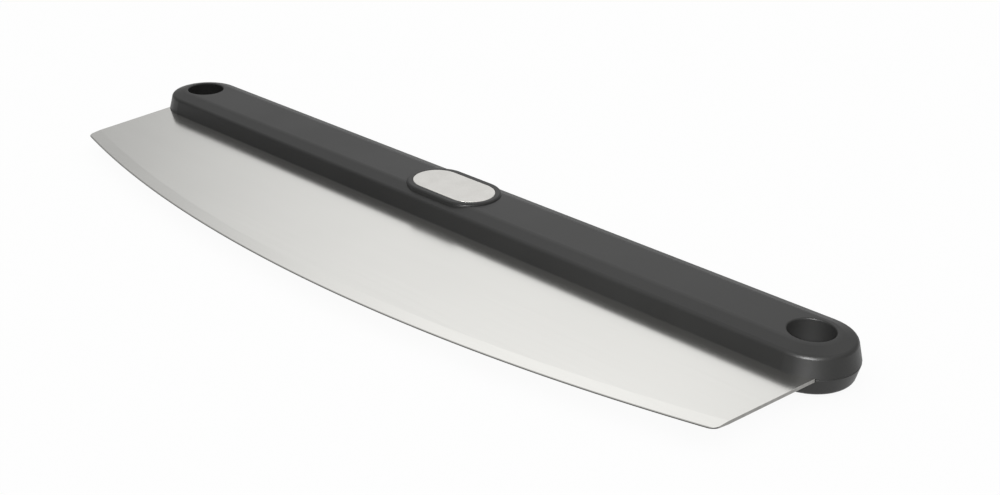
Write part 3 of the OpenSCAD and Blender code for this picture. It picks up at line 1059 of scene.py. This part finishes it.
bpy.ops.object.select_all(action="DESELECT")
bpy.ops.mesh.primitive_plane_add(size=FLOOR_SIZE, location=(0, 0, FLOOR_Z))
floor = bpy.context.object
floor.name = "floor"
floor_paint = new_material("floor_paint", (0.86, 0.86, 0.86), 1.0)
tree = floor_paint.node_tree
glow = tree.nodes.new("ShaderNodeEmission")
glow.inputs["Strength"].default_value = GLOW_LEVEL
path = tree.nodes.new("ShaderNodeLightPath")
seen = path.outputs["Is Camera Ray"]
for name in ("Is Glossy Ray", "Is Transmission Ray"):
    either = tree.nodes.new("ShaderNodeMath")
    either.operation = "MAXIMUM"
    tree.links.new(seen, either.inputs[0])
    tree.links.new(path.outputs[name], either.inputs[1])
    seen = either.outputs[0]
mix = tree.nodes.new("ShaderNodeMixShader")
tree.links.new(between(tree, seen, 0, GLOW_SHARE), mix.inputs["Fac"])
tree.links.new(tree.nodes["finish"].outputs["BSDF"], mix.inputs[1])
tree.links.new(glow.outputs["Emission"], mix.inputs[2])
print("floor glow:", GLOW_LEVEL, "for a share of", GLOW_SHARE)

# %% [markdown]
# From below, the floor is clear, so that the underside of the knife can be looked at too. The
# geometry's Backfacing says which side of the floor a ray meets.

# %% The floor's clear underside
geometry = tree.nodes.new("ShaderNodeNewGeometry")
clear = tree.nodes.new("ShaderNodeBsdfTransparent")
one_sided = tree.nodes.new("ShaderNodeMixShader")
tree.links.new(geometry.outputs["Backfacing"], one_sided.inputs["Fac"])
tree.links.new(mix.outputs[0], one_sided.inputs[1])
tree.links.new(clear.outputs["BSDF"], one_sided.inputs[2])
tree.links.new(one_sided.outputs[0], tree.nodes["Material Output"].inputs["Surface"])
dress(floor, floor_paint)
print("nodes of the floor's paint:", len(tree.nodes))

# %% [markdown]
# Steel shows the room more than it shows itself, so the room is drawn with care. It is dim above
# the horizon, brightens steadily towards the ceiling, and is a little dimmer again straight
# overhead, so that the steel keeps a tone when it is seen from above. That gives the blade its
# even satin look, darker to the left, where the camera sees it at a lower angle. A colour ramp
# over the height of the look holds these steps: each is a height from 0 to 1 and a brightness.

# %% Room by height
ROOM = [(0.0, 0.6), (0.03, 0.6), (0.08, 0.42), (0.22, 0.5), (0.34, 0.56), (0.42, 0.59),
        (0.5, 0.74), (0.62, 1.06), (0.74, 1.26), (0.9, 1.26), (0.98, 0.8)]

world = bpy.data.worlds.new("studio")
bpy.context.scene.world = world
world.use_nodes = True
tree = world.node_tree
look = tree.nodes.new("ShaderNodeTexCoord")
parts = tree.nodes.new("ShaderNodeSeparateXYZ")
tree.links.new(look.outputs["Generated"], parts.inputs["Vector"])
room = tree.nodes.new("ShaderNodeValToRGB")
for height, brightness in ROOM[1:-1]:
    room.color_ramp.elements.new(height)
for element, (height, brightness) in zip(room.color_ramp.elements, ROOM):
    element.position = height
    element.color = (brightness, brightness, brightness, 1)
tree.links.new(parts.outputs["Z"], room.inputs["Fac"])
print("room steps:", len(room.color_ramp.elements))

# %% [markdown]
# Behind the knife the room has one more broad, soft glow, which lifts the middle and the right
# of the blade. The dot product of the look and the glow's direction is 1 in its middle, and
# falls off evenly to all sides, so a smooth step of it draws a round soft spot.

# %% The glow behind
BACK_GLOW = 0.44
BACK_AZIMUTH = math.radians(131.6)
BACK_HEIGHT = math.radians(25.5)
BACK_SPREAD = math.radians(19.7)

towards = tree.nodes.new("ShaderNodeVectorMath")
towards.operation = "DOT_PRODUCT"
towards.inputs[1].default_value = (
    math.cos(BACK_HEIGHT) * math.cos(BACK_AZIMUTH),
    math.cos(BACK_HEIGHT) * math.sin(BACK_AZIMUTH), math.sin(BACK_HEIGHT))
tree.links.new(look.outputs["Generated"], towards.inputs[0])
fade = tree.nodes.new("ShaderNodeMapRange")
fade.interpolation_type = "SMOOTHSTEP"
fade.inputs["From Min"].default_value = math.cos(BACK_SPREAD)
fade.inputs["To Max"].default_value = BACK_GLOW
tree.links.new(towards.outputs["Value"], fade.inputs["Value"])
together = tree.nodes.new("ShaderNodeVectorMath")
tree.links.new(room.outputs["Color"], together.inputs[0])
tree.links.new(fade.outputs["Result"], together.inputs[1])
tree.links.new(together.outputs["Vector"], tree.nodes["Background"].inputs["Color"])
print("glow behind:", BACK_GLOW, "on top of the room")

# %% [markdown]
# One small softbox stands behind the camera, to its left and a few degrees higher as seen from
# the knife. It draws the short highlight along the rounded end of the handle and round the rim of
# the hanging hole. A grid in front of the box keeps its beam on the right end and the ring. That
# is the spread, and because the whole power goes into the narrow beam, a small power is enough.
#
# On the mirror of the blade the softbox would be a glare, so it is kept off the steel, as a
# photographer does with a black card. In Blender that is light linking: the light gets a
# collection of what it lights.

# %% Softbox
SOFTBOX_PLACE = Vector((1.035, -1.555, 0.982))
SOFTBOX_AIM = Vector((0.17, -0.01, 0.01))
SOFTBOX_SIZE = 0.3
SOFTBOX_POWER = 0.6
SOFTBOX_BEAM = math.radians(12)

softbox_data = bpy.data.lights.new("front_softbox", "AREA")
softbox_data.shape = "DISK"
softbox_data.size = SOFTBOX_SIZE
softbox_data.energy = SOFTBOX_POWER
softbox_data.spread = SOFTBOX_BEAM
softbox = bpy.data.objects.new("front_softbox", softbox_data)
bpy.context.scene.collection.objects.link(softbox)
softbox.matrix_world = Matrix.Translation(SOFTBOX_PLACE) @ (
    (SOFTBOX_AIM - SOFTBOX_PLACE).to_track_quat("-Z", "Y").to_matrix().to_4x4())

lit = bpy.data.collections.new("lit_by_the_softbox")
for name in ("handle_upper_shell", "handle_lower_shell"):
    lit.objects.link(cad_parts[name])
for piece in (ring, plate):
    lit.objects.link(piece)
softbox.light_linking.receiver_collection = lit
bpy.context.scene.view_settings.view_transform = "Standard"
